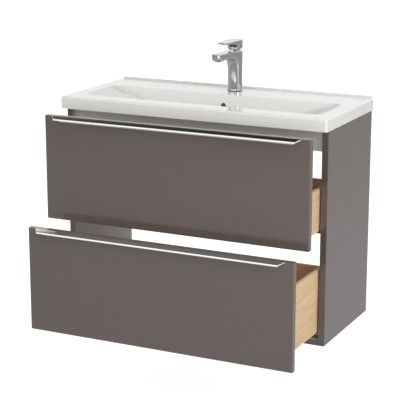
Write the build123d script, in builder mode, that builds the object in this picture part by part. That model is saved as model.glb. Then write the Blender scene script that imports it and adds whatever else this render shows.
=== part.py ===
from build123d import *
from math import radians, tan
import os

os.makedirs("parts", exist_ok=True)

# Wall-hung bathroom vanity: lacquered carcass, two drawers, ceramic basin and single-lever tap.
# Millimetres. X runs to the viewer's right, Y towards the wall, Z up.
# The origin lies on the wall plane, in the middle of the four wall screws.

# Carcass boards
cabinet_width = 800
cabinet_height = 600
cabinet_depth = 340
side_thickness = 18
board_thickness = 16
front_rail_height = 60
front_rail_setback = 10
back_rail_height = 120
lower_rail_height = 80
back_setback = 18
edge_ease = 1.0

# Drawers
front_thickness = 18
front_reveal = 2
front_gap = 3
front_ease = 1.5
closed_gap = 2
upper_opening = 103
lower_opening = 204
upper_side_lift = 23
lower_side_lift = 37
upper_side_height = 117
lower_side_height = 176
upper_back_drop = 10
lower_back_drop = 2
box_gap = 5
box_board = 12
box_length = 260
base_board = 8
base_recess = 13
groove_depth = 6
trap_width = 190
trap_depth = 188
bumper_radius = 4.5
bumper_inset = 25
fixing_above_base = 16
fixing_below_top = 28

# Drawer runners, folded from steel strip
strip = 1.5
rail_length = 270
middle_length = 230
middle_setback = 20
slide_length = 255
rail_drop = 6
web_height = 26
channel_near = 19
channel_width = 26
neck_width = 12
lip_gap = 1
runner_clearance = 0.3
screw_radius = 2.2
screw_head_radius = 4
screw_head_height = 1.8
screw_depth = 11
screw_from_front = 37
screw_spacing = 192

# Cam fittings that hold the boards together
cam_radius = 7.5
cam_height = 10
cam_distance = 34
cam_from_front = 60
cam_from_rear = 40
bolt_radius = 3.5
bolt_depth = 11
fit = 0.3

# Lip handles
handle_half_length = 380
handle_reach = 19.5
handle_end_taper = 19
handle_wall = 2.2
handle_top_drop = 0.3
handle_nose_drop = 4.8
handle_lip_drop = 10.5
handle_flange_drop = 16
handle_screw_radius = 2
handle_screw_head = 4
handle_screw_spread = 160
handle_screw_count = 4

# Wall hangers
screw_drop = 45
plate_edge_gap = 5
plate_hole_spacing = 32
plate_hole_radius = 3.25
plate_width = 64
plate_half_height = 28
plate_thickness = 2.5
plate_lip_reach = 10
plate_lip_height = 10
hook_thickness = 4
hanger_width = 20
hanger_depth = 46
hanger_height = 34
hanger_roof = 1
notch_room = 4

# Basin
basin_side_overhang = 5
basin_overhang = 27
rim_height = 34
upstand_height = 5
upstand_thickness = 7
skirt_wall = 12
deck_thickness = 10
basin_corner = 6
rim_round = 5
bowl_half_width = 364
bowl_front_margin = 30
bowl_back_margin = 132
bowl_depth = 104
bowl_floor_half = 90
bowl_front_draft = 34
bowl_back_draft = 30
bowl_corner = 22
bowl_floor_corner = 40
bowl_wall = 10
overflow_radius = 9
overflow_below_deck = 33

# Waste and plug
waste_boss_radius = 40
waste_boss_height = 25
waste_hole_radius = 23
waste_tube_radius = 20.95
waste_neck_radius = 20.5
waste_tube_wall = 4
waste_flange_radius = 32
waste_flange_height = 3
waste_length = 83
waste_seal_height = 4
waste_nut_height = 10
waste_nut_radius = 31
plug_radius = 29
plug_crown = 5
plug_mid_share = 0.85
plug_rim_share = 0.4
stem_radius = 3
stem_length = 52

# Tap
tap_from_wall = 61
tap_width = 40
tap_waist = 38
tap_corner = 16
tap_waist_place = 0.35
tap_shoulder_place = 0.7
tap_body_height = 119
tap_total_height = 150
tap_hole_radius = 17.5
tap_seal_height = 1
spout_reach = 128
spout_tip_width = 28
spout_tip_height = 16
spout_corner = 4
spout_root_height = 40
spout_root_inset = 3
spout_rise = 3
aerator_radius = 11.5
aerator_back = 15
aerator_drop = 7
aerator_wall = 2
aerator_hole_radius = 1.2
aerator_hole_count = 8
cartridge_radius = 17
cartridge_height = 40
spindle_radius = 4.5
pivot_height = 128
pivot_pin_radius = 2
lever_gap = 3.5
lever_width = 42
lever_corner = 7
lever_reach = 85
lever_tip_height = 4.5
lever_lift = 20
lever_lift_spare = 2
lever_fall = 1
inlet_radius = 4.5
inlet_spread = 9
inlet_depth = 12
stud_radius = 4
stud_back = 11
tap_washer_radius = 26
tap_washer_height = 2
tap_washer_gap = 32
tap_nut_height = 7

# Planes and limits that the pieces share
top = screw_drop
bottom = top - cabinet_height
front = -cabinet_depth
inner_half = cabinet_width / 2 - side_thickness
plate_spacing = 2 * (inner_half - plate_edge_gap) - plate_width
basin_width = cabinet_width + 2 * basin_side_overhang
front_half = cabinet_width / 2 - front_reveal
front_height = (cabinet_height - 2 * front_gap) / 2
box_half = inner_half - box_gap
box_inner = box_half - box_board
deck_top = top + rim_height
deck_under = deck_top - deck_thickness
drawers = {
    "upper": {
        "low": bottom + front_height + front_gap,
        "opening": upper_opening,
        "side_lift": upper_side_lift,
        "side_height": upper_side_height,
        "back_drop": upper_back_drop,
    },
    "lower": {
        "low": bottom,
        "opening": lower_opening,
        "side_lift": lower_side_lift,
        "side_height": lower_side_height,
        "back_drop": lower_back_drop,
    },
}
for drawer in drawers.values():
    drawer["back"] = front - closed_gap - drawer["opening"]
    drawer["face"] = drawer["back"] - front_thickness
    drawer["high"] = drawer["low"] + front_height
    drawer["rear"] = drawer["back"] + box_length
    drawer["side_low"] = drawer["low"] + drawer["side_lift"]
    drawer["side_high"] = drawer["side_low"] + drawer["side_height"]
    drawer["base_low"] = drawer["side_low"] + base_recess
    drawer["base_high"] = drawer["base_low"] + base_board
    drawer["back_high"] = drawer["side_high"] - drawer["back_drop"]
    drawer["fixing_heights"] = (
        drawer["base_high"] + fixing_above_base,
        drawer["side_high"] - fixing_below_top,
    )
sides = {"left": -1, "right": 1}
axis_turn = {"X": (0, 90, 0), "Y": (90, 0, 0), "Z": (0, 0, 0)}


def block(x, y, z, mode=Mode.ADD):
    """Put a block between the (low, high) limits of each axis into the part being built."""
    limits = (x, y, z)
    with Locations(tuple((low + high) / 2 for low, high in limits)):
        Box(*(high - low for low, high in limits), mode=mode)


def rod(axis, centre, radius, length, mode=Mode.ADD):
    """Put a round rod along an axis into the part being built."""
    with Locations(centre):
        Cylinder(radius, length, rotation=axis_turn[axis], mode=mode)


def span(sign, near, far):
    """Limits along X between two distances from the middle, on the given side."""
    return tuple(sorted((sign * near, sign * far)))


def write(part, name):
    """Label a finished piece and write it to its own file."""
    part.label = name
    export_step(part, f"parts/{name}.step")


# Places of the carcass cam fittings: bolt height and depth, then the cam's axis and centre
rail_back = front + front_rail_setback + board_thickness
rear_front = -back_setback - board_thickness
bottom_cams = [
    {"y": y, "z": bottom + board_thickness / 2, "axis": "Z", "cam": (y, bottom + cam_height / 2)}
    for y in (front + cam_from_front, rear_front - cam_from_rear)
]
front_rail_z = top - front_rail_height / 2
front_rail_cams = [{
    "y": rail_back - board_thickness / 2,
    "z": front_rail_z,
    "axis": "Y",
    "cam": (rail_back - cam_height / 2, front_rail_z),
}]


def rear_cams(z):
    """Cam place of a board at the back, opened towards the front."""
    y = rear_front + board_thickness / 2
    return [{"y": y, "z": z, "axis": "Y", "cam": (rear_front + cam_height / 2, z)}]


notch_low = -plate_half_height - notch_room
back_rail_low = top - back_rail_height
lower_rail_low = bottom + board_thickness
back_rail_cams = rear_cams((back_rail_low + notch_low) / 2)
lower_rail_cams = rear_cams(lower_rail_low + lower_rail_height / 2)
carcass_cams = bottom_cams + front_rail_cams + back_rail_cams + lower_rail_cams


def cut_cam_seats(cams):
    """Bore a board's two ends for the bolts and sink the pockets for the cams."""
    for cam in cams:
        for sign in sides.values():
            centre_x = sign * (inner_half - cam_distance / 2)
            rod("X", (centre_x, cam["y"], cam["z"]), bolt_radius + fit, cam_distance, Mode.SUBTRACT)
            pocket = (sign * (inner_half - cam_distance), *cam["cam"])
            rod(cam["axis"], pocket, cam_radius + fit, cam_height, Mode.SUBTRACT)


def side_panel(sign, name):
    """One end board of the carcass, bored for cam bolts and runner screws."""
    with BuildPart() as panel:
        block(span(sign, inner_half, cabinet_width / 2), (front, 0), (bottom, top))
        outer_face = panel.faces().filter_by(Axis.X).sort_by(Axis.X)[-1 if sign > 0 else 0]
        chamfer(outer_face.edges(), edge_ease)
        for cam in carcass_cams:
            bore_x = sign * (inner_half + (bolt_depth + fit) / 2)
            rod("X", (bore_x, cam["y"], cam["z"]), bolt_radius + fit, bolt_depth + fit, Mode.SUBTRACT)
        for y, z in runner_screw_places:
            bore_x = sign * (inner_half + (screw_depth + fit) / 2)
            rod("X", (bore_x, y, z), screw_radius + fit, screw_depth + fit, Mode.SUBTRACT)
    write(panel.part, name)


runner_screw_places = [
    (front + screw_from_front + step, drawer["side_low"] - rail_drop + web_height / 2)
    for drawer in drawers.values()
    for step in (0, screw_spacing)
]
for side, sign in sides.items():
    side_panel(sign, f"{side}_side_panel")

# Bottom panel
with BuildPart() as bottom_panel:
    block((-inner_half, inner_half), (front, -back_setback), (bottom, bottom + board_thickness))
    cut_cam_seats(bottom_cams)
write(bottom_panel.part, "bottom_panel")

# Front rail under the basin
with BuildPart() as front_rail:
    front_rail_y = (rail_back - board_thickness, rail_back)
    block((-inner_half, inner_half), front_rail_y, (top - front_rail_height, top))
    cut_cam_seats(front_rail_cams)
write(front_rail.part, "front_rail")

# Back rail, notched at both ends for the wall hangers
notch_inner = plate_spacing / 2 - plate_width / 2 - notch_room
with BuildPart() as back_rail:
    block((-inner_half, inner_half), (rear_front, -back_setback), (back_rail_low, top))
    for sign in sides.values():
        notch_x = span(sign, notch_inner, inner_half)
        block(notch_x, (rear_front, -back_setback), (notch_low, top), Mode.SUBTRACT)
    cut_cam_seats(back_rail_cams)
write(back_rail.part, "back_rail")

# Lower back rail on the bottom panel
with BuildPart() as lower_back_rail:
    block(
        (-inner_half, inner_half),
        (rear_front, -back_setback),
        (lower_rail_low, lower_rail_low + lower_rail_height),
    )
    cut_cam_seats(lower_rail_cams)
write(lower_back_rail.part, "lower_back_rail")

# Cam discs, each slotted for its bolt
with BuildPart() as cam_locks:
    for cam in carcass_cams:
        for sign in sides.values():
            rod(cam["axis"], (sign * (inner_half - cam_distance), *cam["cam"]), cam_radius, cam_height)
    for cam in carcass_cams:
        for sign in sides.values():
            slot_x = sign * (inner_half - cam_distance / 2)
            rod("X", (slot_x, cam["y"], cam["z"]), bolt_radius + fit, cam_distance + 2 * fit, Mode.SUBTRACT)
write(cam_locks.part, "cam_locks")

# Bolts from the end boards into the cams
with BuildPart() as cam_bolts:
    for cam in carcass_cams:
        for sign in sides.values():
            bolt_x = sign * (inner_half + (bolt_depth - cam_distance) / 2)
            rod("X", (bolt_x, cam["y"], cam["z"]), bolt_radius, bolt_depth + cam_distance)
write(cam_bolts.part, "cam_bolts")

# Wall plates: screwed to the wall, with an upturned lip for the hooks
lip_under = plate_half_height - plate_thickness
lip_top = plate_half_height + plate_lip_height
with BuildPart() as wall_plates:
    for sign in sides.values():
        with BuildSketch(Plane.YZ.offset(sign * plate_spacing / 2)):
            with BuildLine():
                Polyline(
                    (0, -plate_half_height),
                    (0, plate_half_height),
                    (plate_thickness - plate_lip_reach, plate_half_height),
                    (plate_thickness - plate_lip_reach, lip_top),
                    (-plate_lip_reach, lip_top),
                    (-plate_lip_reach, lip_under),
                    (-plate_thickness, lip_under),
                    (-plate_thickness, -plate_half_height),
                    close=True,
                )
            make_face()
        extrude(amount=plate_width / 2, both=True)
        for height in (-plate_hole_spacing / 2, plate_hole_spacing / 2):
            hole_centre = (sign * plate_spacing / 2, -plate_thickness / 2, height)
            rod("Y", hole_centre, plate_hole_radius, plate_thickness, Mode.SUBTRACT)
write(wall_plates.part, "wall_plates")

# Hooks: steel claws that hang over the lips of the wall plates
hook_x = inner_half - hanger_width / 2
hook_top = lip_top + hook_thickness
hook_low = hook_top - hanger_height + 2 * hook_thickness
hanger_rear = -plate_lip_reach - hook_thickness
hook_front = hanger_rear - hanger_depth / 2
with BuildPart() as hanger_hooks:
    for sign in sides.values():
        with BuildSketch(Plane.YZ.offset(sign * hook_x)):
            with BuildLine():
                Polyline(
                    (hook_front, hook_low),
                    (hook_front, hook_top),
                    (-plate_thickness - fit, hook_top),
                    (-plate_thickness - fit, plate_half_height + fit),
                    (plate_thickness - plate_lip_reach + fit, plate_half_height + fit),
                    (plate_thickness - plate_lip_reach + fit, lip_top),
                    (hanger_rear, lip_top),
                    (hanger_rear, hook_low),
                    close=True,
                )
            make_face()
        extrude(amount=hook_thickness / 2, both=True)
write(hanger_hooks.part, "hanger_hooks")

# Hanger boxes on the end boards, slotted for the hooks
hanger_high = hook_top + hanger_roof
hanger_low = hanger_high - hanger_height
with BuildPart() as hanger_boxes:
    for sign in sides.values():
        block(
            span(sign, inner_half - hanger_width, inner_half),
            (hanger_rear - hanger_depth, hanger_rear),
            (hanger_low, hanger_high),
        )
    chamfer(hanger_boxes.edges().filter_by(Axis.Z), edge_ease)
    for sign in sides.values():
        slot_half = hook_thickness / 2 + fit
        block(
            span(sign, hook_x - slot_half, hook_x + slot_half),
            (hook_front - fit, hanger_rear),
            (hook_low, hook_top),
            Mode.SUBTRACT,
        )
write(hanger_boxes.part, "hanger_boxes")

# Runner members share one set of heights, measured from the drawer side's lower edge
channel_mid = inner_half - channel_near - channel_width / 2
rail_floor = -rail_drop
rail_lip = base_recess / 2 - lip_gap - 2 * strip
slide_lip = rail_lip + strip + lip_gap


def runner_rail(drawer, sign, name):
    """Cabinet member: web on the end board, leg under the drawer side and a lipped channel."""
    with BuildPart() as rail:
        with BuildSketch(Plane.XZ.offset(-front - closed_gap - rail_length)):
            low = drawer["side_low"]
            channel_low = (low + rail_floor, low + rail_floor + strip)
            lips = (low + rail_lip, low + rail_lip + strip)
            walls = (low + rail_floor, low + rail_lip + strip)
            half = channel_width / 2
            shapes = [
                ((inner_half - strip, inner_half), (channel_low[0], channel_low[0] + web_height)),
                ((channel_mid - half, inner_half), channel_low),
                ((channel_mid + half - strip, channel_mid + half), walls),
                ((channel_mid - half, channel_mid - half + strip), walls),
                ((channel_mid + neck_width / 2, channel_mid + half), lips),
                ((channel_mid - half, channel_mid - neck_width / 2), lips),
            ]
            for x, z in shapes:
                with Locations((sign * (x[0] + x[1]) / 2, (z[0] + z[1]) / 2)):
                    Rectangle(x[1] - x[0], z[1] - z[0])
        extrude(amount=rail_length)
        for y, z in runner_screw_places:
            if channel_low[0] < z < channel_low[0] + web_height:
                hole_x = sign * (inner_half - strip / 2)
                rod("X", (hole_x, y, z), screw_radius + fit, strip, Mode.SUBTRACT)
    write(rail.part, name)


def runner_middle(drawer, sign, name):
    """Middle member: a folded tube whose feet run in the two channels."""
    foot = channel_width - 2 * strip - 2 * runner_clearance
    neck = neck_width - 2 * runner_clearance
    low = drawer["side_low"]
    foot_low = (low + rail_floor + strip + runner_clearance, low + rail_lip - runner_clearance)
    foot_high = (low + slide_lip + strip + runner_clearance, low + base_recess - strip - runner_clearance)
    neck_span = (foot_low[0], foot_high[1])
    start = front + middle_setback - drawer["opening"] / 2
    with BuildPart() as middle:
        with BuildSketch(Plane.XZ.offset(-start - middle_length)):
            for width, z in ((foot, foot_low), (foot, foot_high), (neck, neck_span)):
                with Locations((sign * channel_mid, (z[0] + z[1]) / 2)):
                    Rectangle(width, z[1] - z[0])
            with Locations((sign * channel_mid, (neck_span[0] + neck_span[1]) / 2)):
                Rectangle(neck - 2 * strip, neck_span[1] - neck_span[0] - 2 * strip, mode=Mode.SUBTRACT)
        extrude(amount=middle_length)
    write(middle.part, name)


def runner_slide(drawer, sign, name):
    """Drawer member: an upturned channel under the drawer base."""
    low = drawer["side_low"]
    roof = (low + base_recess - strip, low + base_recess)
    lips = (low + slide_lip, low + slide_lip + strip)
    walls = (low + slide_lip, low + base_recess)
    half = channel_width / 2
    start = drawer["back"] + closed_gap
    with BuildPart() as slide:
        with BuildSketch(Plane.XZ.offset(-start - slide_length)):
            shapes = [
                ((channel_mid - half, channel_mid + half), roof),
                ((channel_mid + half - strip, channel_mid + half), walls),
                ((channel_mid - half, channel_mid - half + strip), walls),
                ((channel_mid + neck_width / 2, channel_mid + half), lips),
                ((channel_mid - half, channel_mid - neck_width / 2), lips),
            ]
            for x, z in shapes:
                with Locations((sign * (x[0] + x[1]) / 2, (z[0] + z[1]) / 2)):
                    Rectangle(x[1] - x[0], z[1] - z[0])
        extrude(amount=slide_length)
    write(slide.part, name)


for level, drawer in drawers.items():
    for side, sign in sides.items():
        runner_rail(drawer, sign, f"{level}_{side}_runner_rail")
        runner_middle(drawer, sign, f"{level}_{side}_runner_middle")
        runner_slide(drawer, sign, f"{level}_{side}_runner_slide")

# Runner screws through the webs into the end boards
with BuildPart() as runner_screws:
    for y, z in runner_screw_places:
        for sign in sides.values():
            shank_x = sign * (inner_half + (screw_depth - strip) / 2)
            rod("X", (shank_x, y, z), screw_radius, screw_depth + strip)
            head_x = sign * (inner_half - strip - screw_head_height / 2)
            rod("X", (head_x, y, z), screw_head_radius, screw_head_height)
write(runner_screws.part, "runner_screws")


def drawer_front(drawer, name):
    """Lacquered front, bored from behind for its bolts and the handle screws."""
    with BuildPart() as panel:
        block((-front_half, front_half), (drawer["face"], drawer["back"]), (drawer["low"], drawer["high"]))
        fillet(panel.faces().sort_by(Axis.Y)[0].edges(), front_ease)
        for x, z in front_fixings(drawer):
            bore_y = drawer["back"] - (bolt_depth + fit) / 2
            rod("Y", (x, bore_y, z), bolt_radius + fit, bolt_depth + fit, Mode.SUBTRACT)
        for x in handle_screw_places:
            bore = (x, (drawer["face"] + drawer["back"]) / 2, handle_screw_height(drawer))
            rod("Y", bore, handle_screw_radius + fit, front_thickness, Mode.SUBTRACT)
    write(panel.part, name)


handle_screw_places = [
    (step - (handle_screw_count - 1) / 2) * handle_screw_spread for step in range(handle_screw_count)
]


def handle_screw_height(drawer):
    """Height of the handle screws, in the middle of the handle's flange."""
    return drawer["high"] - (handle_lip_drop + handle_flange_drop) / 2


def front_fixings(drawer):
    """X and Z of the bolts that hold the front to the two drawer sides."""
    middle = box_half - box_board / 2
    return [(sign * middle, z) for sign in sides.values() for z in drawer["fixing_heights"]]


def lip_handle(drawer, name):
    """Folded chrome lip along the top of the front, with slanted ends.

    Its flange, sloped web and lip are left as three touching solids, so that each stays simple
    and the room for the fingers between them stays open.
    """
    face = drawer["face"]
    high = drawer["high"]
    nose = face - handle_reach
    round_nose = handle_wall
    with BuildPart() as handle:
        with BuildSketch(Plane.YZ):
            with BuildLine():
                back_top = (face, high - handle_top_drop)
                front_top = (nose + round_nose, high - handle_nose_drop)
                Line(back_top, front_top)
                nose_low = (nose, high - handle_nose_drop - round_nose)
                RadiusArc(front_top, nose_low, -round_nose)
                Polyline(
                    nose_low,
                    (nose, high - handle_lip_drop),
                    (nose + handle_wall, high - handle_lip_drop),
                    (nose + handle_wall, high - handle_nose_drop - handle_wall),
                    (face - handle_wall, high - handle_top_drop - handle_wall),
                    (face - handle_wall, high - handle_flange_drop),
                    (face, high - handle_flange_drop),
                    back_top,
                )
            make_face()
        extrude(amount=handle_half_length, both=True)
        with BuildSketch(Plane.XY.offset(high - handle_flange_drop)):
            with BuildLine():
                Polyline(
                    (-handle_half_length, face),
                    (handle_half_length, face),
                    (handle_half_length - handle_end_taper, nose),
                    (handle_end_taper - handle_half_length, nose),
                    close=True,
                )
            make_face()
        extrude(amount=handle_flange_drop, mode=Mode.INTERSECT)
        for x in handle_screw_places:
            seat = (x, face - handle_wall / 2, handle_screw_height(drawer))
            rod("Y", seat, handle_screw_radius + fit, handle_wall, Mode.SUBTRACT)
        for fold in (nose + handle_wall, face - handle_wall):
            split(bisect_by=Plane.XZ.offset(-fold), keep=Keep.BOTH)
    write(handle.part, name)


def handle_screws(drawer, name):
    """Screws through the front into the handle's flange, with heads behind the front."""
    with BuildPart() as screws:
        for x in handle_screw_places:
            z = handle_screw_height(drawer)
            length = front_thickness + handle_wall - fit
            rod("Y", (x, drawer["back"] - length / 2, z), handle_screw_radius, length)
            head_y = drawer["back"] + screw_head_height / 2
            rod("Y", (x, head_y, z), handle_screw_head, screw_head_height)
    write(screws.part, name)


def drawer_side(drawer, sign, name):
    """Wooden side, grooved for the base and sunk for the cams of the front."""
    inner_x = sign * (box_inner + cam_height / 2)
    with BuildPart() as board:
        block(
            span(sign, box_inner, box_half),
            (drawer["back"], drawer["rear"]),
            (drawer["side_low"], drawer["side_high"]),
        )
        top_edges = board.faces().sort_by(Axis.Z)[-1].edges().filter_by(Axis.Y)
        fillet(top_edges, front_ease)
        block(
            span(sign, box_inner, box_inner + groove_depth),
            (drawer["back"], drawer["rear"]),
            (drawer["base_low"], drawer["base_high"] + fit),
            Mode.SUBTRACT,
        )
        for z in drawer["fixing_heights"]:
            bore = (sign * (box_half - box_board / 2), drawer["back"] + cam_distance / 2, z)
            rod("Y", bore, bolt_radius + fit, cam_distance, Mode.SUBTRACT)
            pocket = (inner_x, drawer["back"] + cam_distance, z)
            rod("X", pocket, cam_radius + fit, cam_height, Mode.SUBTRACT)
    write(board.part, name)


def front_fixing_set(drawer, name):
    """Bolts in the front and the slotted cams in the drawer sides that draw it tight."""
    with BuildPart() as fixings:
        for x, z in front_fixings(drawer):
            sign = 1 if x > 0 else -1
            cam_centre = (sign * (box_inner + cam_height / 2), drawer["back"] + cam_distance, z)
            rod("X", cam_centre, cam_radius, cam_height)
        for x, z in front_fixings(drawer):
            slot = (x, drawer["back"] + cam_distance / 2, z)
            rod("Y", slot, bolt_radius + fit, cam_distance + 2 * fit, Mode.SUBTRACT)
        for x, z in front_fixings(drawer):
            bolt = (x, drawer["back"] + (cam_distance - bolt_depth) / 2, z)
            rod("Y", bolt, bolt_radius, cam_distance + bolt_depth)
    write(fixings.part, name)


def drawer_base(drawer, name, trap_cut):
    """Base board in the grooves of the sides, cut out round the waste where asked."""
    base_half = box_inner + groove_depth - fit
    with BuildPart() as base:
        block(
            (-base_half, base_half),
            (drawer["back"], drawer["rear"]),
            (drawer["base_low"], drawer["base_high"]),
        )
        if trap_cut:
            block(
                (-trap_width / 2, trap_width / 2),
                (drawer["rear"] - trap_depth, drawer["rear"]),
                (drawer["base_low"], drawer["base_high"]),
                Mode.SUBTRACT,
            )
    write(base.part, name)


def drawer_wall(drawer, x, y, name):
    """Wooden wall that stands on the drawer base."""
    with BuildPart() as wall:
        block(x, y, (drawer["base_high"], drawer["back_high"]))
        top_edges = wall.faces().sort_by(Axis.Z)[-1].edges()
        long_edges = top_edges.sort_by(SortBy.LENGTH)[-2:]
        fillet(long_edges, front_ease)
    write(wall.part, name)


def bumper_set(drawer, name):
    """Soft stops behind the front, over the end boards' front edges."""
    height = closed_gap - fit / 2
    with BuildPart() as bumpers:
        for sign in sides.values():
            for z in (drawer["low"] + bumper_inset, drawer["high"] - bumper_inset):
                centre = (sign * (inner_half + side_thickness / 2), drawer["back"] + height / 2, z)
                rod("Y", centre, bumper_radius, height)
    write(bumpers.part, name)


for level, drawer in drawers.items():
    drawer_front(drawer, f"{level}_front")
    lip_handle(drawer, f"{level}_handle")
    handle_screws(drawer, f"{level}_handle_screws")
    front_fixing_set(drawer, f"{level}_front_fixings")
    bumper_set(drawer, f"{level}_bumpers")
    drawer_base(drawer, f"{level}_base", trap_cut=level == "upper")
    for side, sign in sides.items():
        drawer_side(drawer, sign, f"{level}_{side}_side")

# Lower drawer back: one board between the sides
lower = drawers["lower"]
drawer_wall(lower, (-box_inner, box_inner), (lower["rear"] - box_board, lower["rear"]), "lower_back")

# Upper drawer: two backs and three walls round the recess for the trap
upper = drawers["upper"]
trap_outer = trap_width / 2 + box_board
trap_front = upper["rear"] - trap_depth
for side, sign in sides.items():
    back_x = span(sign, trap_outer, box_inner)
    drawer_wall(upper, back_x, (upper["rear"] - box_board, upper["rear"]), f"upper_{side}_back")
    wall_x = span(sign, trap_width / 2, trap_outer)
    drawer_wall(upper, wall_x, (trap_front, upper["rear"]), f"upper_trap_{side}_wall")
drawer_wall(upper, (-trap_outer, trap_outer), (trap_front - box_board, trap_front), "upper_trap_front_wall")

# Basin: skirted deck with a long bowl whose ends ramp down to the waste
basin_front = front - basin_overhang
basin_mid = basin_front / 2
bowl_front = front + bowl_front_margin
bowl_back = -bowl_back_margin
bowl_mid = (bowl_front + bowl_back) / 2
floor_front = bowl_front + bowl_front_draft
floor_back = bowl_back - bowl_back_draft
waste_y = (floor_front + floor_back) / 2
bowl_floor = deck_top - bowl_depth
boss_low = bowl_floor - waste_boss_height
duct_half = overflow_radius + bowl_wall
overflow_z = deck_top - overflow_below_deck
with BuildPart() as basin:
    with BuildSketch(Plane.XY.offset(top)):
        with Locations((0, basin_mid)):
            RectangleRounded(basin_width, -basin_front, basin_corner)
    extrude(amount=rim_height)
    fillet(basin.faces().sort_by(Axis.Z)[-1].edges(), rim_round)
    block(
        (rim_round - basin_width / 2, basin_width / 2 - rim_round),
        (-upstand_thickness, 0),
        (top + rim_round, deck_top + upstand_height),
    )
    fillet(basin.faces().sort_by(Axis.Z)[-1].edges().sort_by(Axis.Y)[0], upstand_thickness / 3)
    block(
        (skirt_wall - basin_width / 2, basin_width / 2 - skirt_wall),
        (basin_front + skirt_wall, -skirt_wall),
        (top, deck_under),
        Mode.SUBTRACT,
    )
    with BuildSketch(Plane.XY.offset(deck_under)):
        with Locations((0, bowl_mid)):
            RectangleRounded(
                2 * (bowl_half_width + bowl_wall),
                bowl_back - bowl_front + 2 * bowl_wall,
                bowl_corner + bowl_wall,
            )
    with BuildSketch(Plane.XY.offset(bowl_floor - bowl_wall)):
        with Locations((0, waste_y)):
            RectangleRounded(
                2 * (bowl_floor_half + bowl_wall),
                floor_back - floor_front + 2 * bowl_wall,
                bowl_floor_corner + bowl_wall,
            )
    loft()
    with BuildSketch(Plane.XY.offset(boss_low)):
        with Locations((0, waste_y)):
            Circle(waste_boss_radius)
    extrude(amount=waste_boss_height)
    with BuildSketch(Plane.YZ):
        with BuildLine():
            Polyline(
                (bowl_back, deck_under),
                (bowl_back + 3 * bowl_wall, deck_under),
                (bowl_back + 3 * bowl_wall, top - 2 * bowl_wall),
                (floor_back + 3 * bowl_wall, boss_low),
                (waste_y, boss_low),
                (waste_y, bowl_floor),
                (floor_back, bowl_floor),
                close=True,
            )
        make_face()
    extrude(amount=duct_half, both=True)
    with BuildSketch(Plane.XY.offset(deck_top)):
        with Locations((0, bowl_mid)):
            RectangleRounded(2 * bowl_half_width, bowl_back - bowl_front, bowl_corner)
    with BuildSketch(Plane.XY.offset(bowl_floor)):
        with Locations((0, waste_y)):
            RectangleRounded(2 * bowl_floor_half, floor_back - floor_front, bowl_floor_corner)
    loft(mode=Mode.SUBTRACT)
    with BuildSketch(Plane.YZ):
        with BuildLine():
            Polyline(
                (bowl_back + bowl_wall, overflow_z + overflow_radius),
                (bowl_back + 2 * bowl_wall, overflow_z + overflow_radius),
                (bowl_back + 2 * bowl_wall, top - 2 * bowl_wall),
                (floor_back + 2 * bowl_wall, boss_low + bowl_wall),
                (waste_y, boss_low + bowl_wall),
                (waste_y, bowl_floor - bowl_wall / 2),
                (floor_back + bowl_wall, bowl_floor - bowl_wall / 2),
                close=True,
            )
        make_face()
    extrude(amount=overflow_radius, both=True, mode=Mode.SUBTRACT)
    rod("Y", (0, bowl_back, overflow_z), overflow_radius, 4 * bowl_wall, Mode.SUBTRACT)
    rod("Z", (0, waste_y, (bowl_floor + boss_low) / 2), waste_hole_radius, waste_boss_height, Mode.SUBTRACT)
    tap_hole = (0, -tap_from_wall, deck_top - deck_thickness / 2)
    rod("Z", tap_hole, tap_hole_radius, deck_thickness, Mode.SUBTRACT)
write(basin.part, "basin")

# Waste: flange in the bowl, slotted tube through the basin and a spider for the plug stem
waste_top = bowl_floor + waste_flange_height
waste_low = waste_top - waste_length
tube_inner = waste_tube_radius - waste_tube_wall
spider_z = boss_low - waste_seal_height - waste_nut_height
with BuildPart() as waste_body:
    rod("Z", (0, waste_y, (spider_z + waste_low) / 2), waste_tube_radius, spider_z - waste_low)
    rod("Z", (0, waste_y, (waste_top + spider_z) / 2), waste_neck_radius, waste_top - spider_z)
    rod("Z", (0, waste_y, waste_top - waste_flange_height / 2), waste_flange_radius, waste_flange_height)
    rod("Z", (0, waste_y, (waste_top + waste_low) / 2), tube_inner, waste_length, Mode.SUBTRACT)
    slot_z = (boss_low + bowl_wall, bowl_floor - bowl_wall / 2)
    slot_y = (waste_y - 2 * waste_tube_radius, waste_y + 2 * waste_tube_radius)
    block((-overflow_radius / 2, overflow_radius / 2), slot_y, slot_z, Mode.SUBTRACT)
    block(
        (-tube_inner, tube_inner),
        (waste_y - stem_radius, waste_y + stem_radius),
        (spider_z, spider_z + waste_tube_wall),
    )
    rod("Z", (0, waste_y, spider_z + waste_tube_wall), 2 * stem_radius, 2 * waste_tube_wall)
    rod("Z", (0, waste_y, spider_z + waste_tube_wall), stem_radius + fit, 2 * waste_tube_wall, Mode.SUBTRACT)
write(waste_body.part, "waste_body")

# Rubber seal and back nut under the basin
with BuildPart() as waste_seal:
    seal_middle = (0, waste_y, boss_low - waste_seal_height / 2)
    rod("Z", seal_middle, waste_nut_radius, waste_seal_height)
    rod("Z", seal_middle, waste_neck_radius + fit, waste_seal_height, Mode.SUBTRACT)
write(waste_seal.part, "waste_seal")

nut_top = boss_low - waste_seal_height
with BuildPart() as waste_nut:
    with BuildSketch(Plane.XY.offset(nut_top - waste_nut_height)):
        with Locations((0, waste_y)):
            RegularPolygon(waste_nut_radius, 6)
            Circle(waste_neck_radius + fit, mode=Mode.SUBTRACT)
    extrude(amount=waste_nut_height)
write(waste_nut.part, "waste_nut")

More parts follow.
